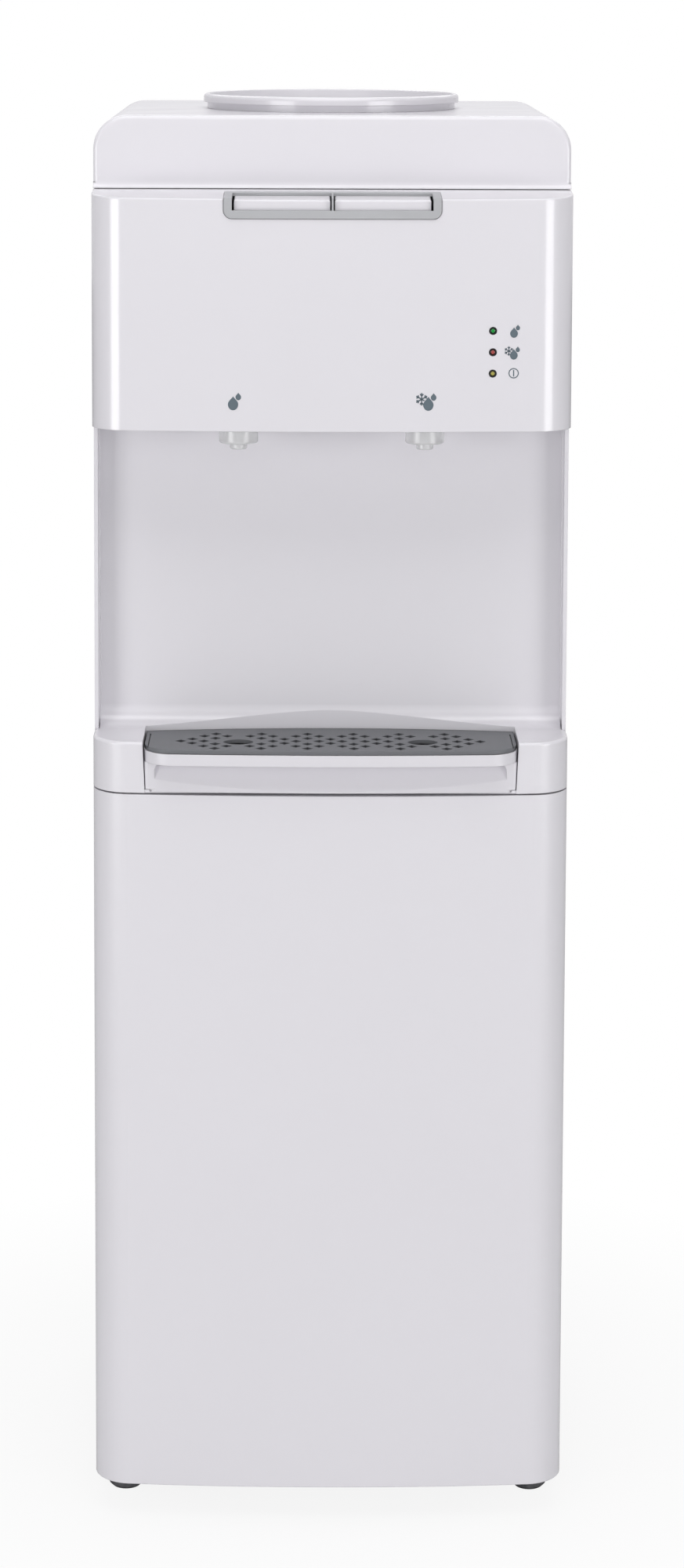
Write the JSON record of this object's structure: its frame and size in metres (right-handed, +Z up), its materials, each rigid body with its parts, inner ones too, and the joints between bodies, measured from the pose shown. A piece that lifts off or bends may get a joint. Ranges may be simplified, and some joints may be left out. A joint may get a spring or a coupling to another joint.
{
  "type": "water cooler",
  "caption": "Free-standing water cooler with a bottle collar on top, two push-button taps over a drip tray, and a refrigerated tank inside.",
  "frame": {"origin": "on the floor, under the middle of the cabinet's overall box", "axes": "+Z up, -Y out of the front, +X to the viewer's right"},
  "size_m": [0.31, 0.334, 0.935],
  "materials": {
    "body_plastic": "white ABS, satin gloss",
    "painted_sheet": "white powder coat",
    "grey_plastic": "grey ABS, fine satin",
    "tap_plastic": "natural white, slightly translucent",
    "galvanised_sheet": "galvanised",
    "foot_rubber": "dark grey moulded rubber",
    "fastener_steel": "zinc plated",
    "tank_steel": "stainless steel, brushed",
    "inner_plastic": "natural polypropylene",
    "foam": "expanded polystyrene",
    "copper": "drawn copper, dull",
    "black_enamel": "black enamel",
    "black_plastic": "black moulded plastic",
    "silicone_hose": "translucent silicone",
    "circuit_board": "solder mask",
    "green_lens": "clear tinted",
    "red_lens": "clear tinted",
    "yellow_lens": "clear tinted"
  },
  "bodies": {
    "cabinet": {"back_panel": "painted_sheet", "baffle_disc": "inner_plastic", "base_pan": "galvanised_sheet", "bottle_collar": "body_plastic", "button_bezel": "grey_plastic", "button_pin": "fastener_steel", "capillary_tube": "copper", "cold_nozzle": "tap_plastic", "cold_tank": "tank_steel", "cold_tap_housing": "tap_plastic", "cold_tap_spring": "fastener_steel", "cold_water_hose": "silicone_hose", "compressor": "black_enamel", "compressor_bolts": "fastener_steel", "compressor_mounts": "foot_rubber", "condenser_clips": "black_plastic", "condenser_tube": "black_enamel", "condenser_wires": "black_enamel", "control_panel": "body_plastic", "cord_gland": "black_plastic", "discharge_pipe": "copper", "dispensing_bay": "body_plastic", "drain_pipe": "tank_steel", "evaporator_coil": "copper", "filter_drier": "copper", "front_feet": "foot_rubber", "insulation_front": "foam", "insulation_rear": "foam", "lamp_board": "circuit_board", "lamp_holders": "black_plastic", "led_green": "green_lens", "led_red": "red_lens", "led_yellow": "yellow_lens", "lower_front_panel": "body_plastic", "normal_nozzle": "tap_plastic", "normal_tap_housing": "tap_plastic", "normal_tap_spring": "fastener_steel", "normal_water_hose": "silicone_hose", "panel_screws": "fastener_steel", "rear_feet": "foot_rubber", "side_panel_left": "painted_sheet", "side_panel_right": "painted_sheet", "starter_box": "black_plastic", "suction_pipe": "copper", "switch_housing": "black_plastic", "tank_lid": "inner_plastic", "tank_shelf": "galvanised_sheet", "tap_bracket": "body_plastic", "thermostat": "black_plastic", "top_hood": "body_plastic"},
    "normal_key": {"normal_button": "body_plastic"},
    "cold_key": {"cold_button": "body_plastic"},
    "normal_valve": {"normal_valve_stem": "tap_plastic"},
    "cold_valve": {"cold_valve_stem": "tap_plastic"},
    "tray": {"drip_tray": "body_plastic"},
    "grille": {"drip_grille": "grey_plastic"},
    "seat": {"bottle_seat": "body_plastic"},
    "rocker": {"switch_rocker": "black_plastic"},
    "drain_closure": {"drain_cap": "inner_plastic"}
  },
  "joints": [
    {"name": "normal_button_press", "type": "hinge", "parent": "cabinet", "child": "normal_key", "pos_m": [-0.0325, -0.114, 0.866], "axis": [1, 0, 0], "range_deg": [0, 7], "stiffness_Nm_per_rad": 0.85, "springref_deg": -2.86},
    {"name": "cold_button_press", "type": "hinge", "parent": "cabinet", "child": "cold_key", "pos_m": [0.0325, -0.114, 0.866], "axis": [1, 0, 0], "range_deg": [0, 7], "stiffness_Nm_per_rad": 0.85, "springref_deg": -2.86},
    {"name": "normal_valve_push", "type": "slide", "parent": "cabinet", "child": "normal_valve", "axis": [0, 0, -1], "range_m": [0, 0.00338], "deforming": ["normal_tap_spring"]},
    {"name": "cold_valve_push", "type": "slide", "parent": "cabinet", "child": "cold_valve", "axis": [0, 0, -1], "range_m": [0, 0.00338], "deforming": ["cold_tap_spring"]},
    {"name": "drip_tray_slide", "type": "slide", "parent": "cabinet", "child": "tray", "axis": [0, -1, 0], "range_m": [0, 0.08]},
    {"name": "drip_grille_lift", "type": "slide", "parent": "tray", "child": "grille", "axis": [0, 0, 1], "range_m": [0, 0.05]},
    {"name": "bottle_seat_lift", "type": "slide", "parent": "cabinet", "child": "seat", "axis": [0, 0, 1], "range_m": [0, 0.09]},
    {"name": "cooling_switch_rock", "type": "hinge", "parent": "cabinet", "child": "rocker", "pos_m": [-0.105, 0.15, 0.8], "axis": [1, 0, 0], "range_deg": [0, 16]},
    {"name": "drain_cap_turn", "type": "hinge", "parent": "cabinet", "child": "drain_closure", "pos_m": [0, 0.16, 0.744], "axis": [0, 1, 0], "range_deg": [0, 540]}
  ],
  "couplings": [
    {"joint": "normal_valve_push", "follows": "normal_button_press", "m_per_rad": 0.026},
    {"joint": "cold_valve_push", "follows": "cold_button_press", "m_per_rad": 0.026}
  ]
}
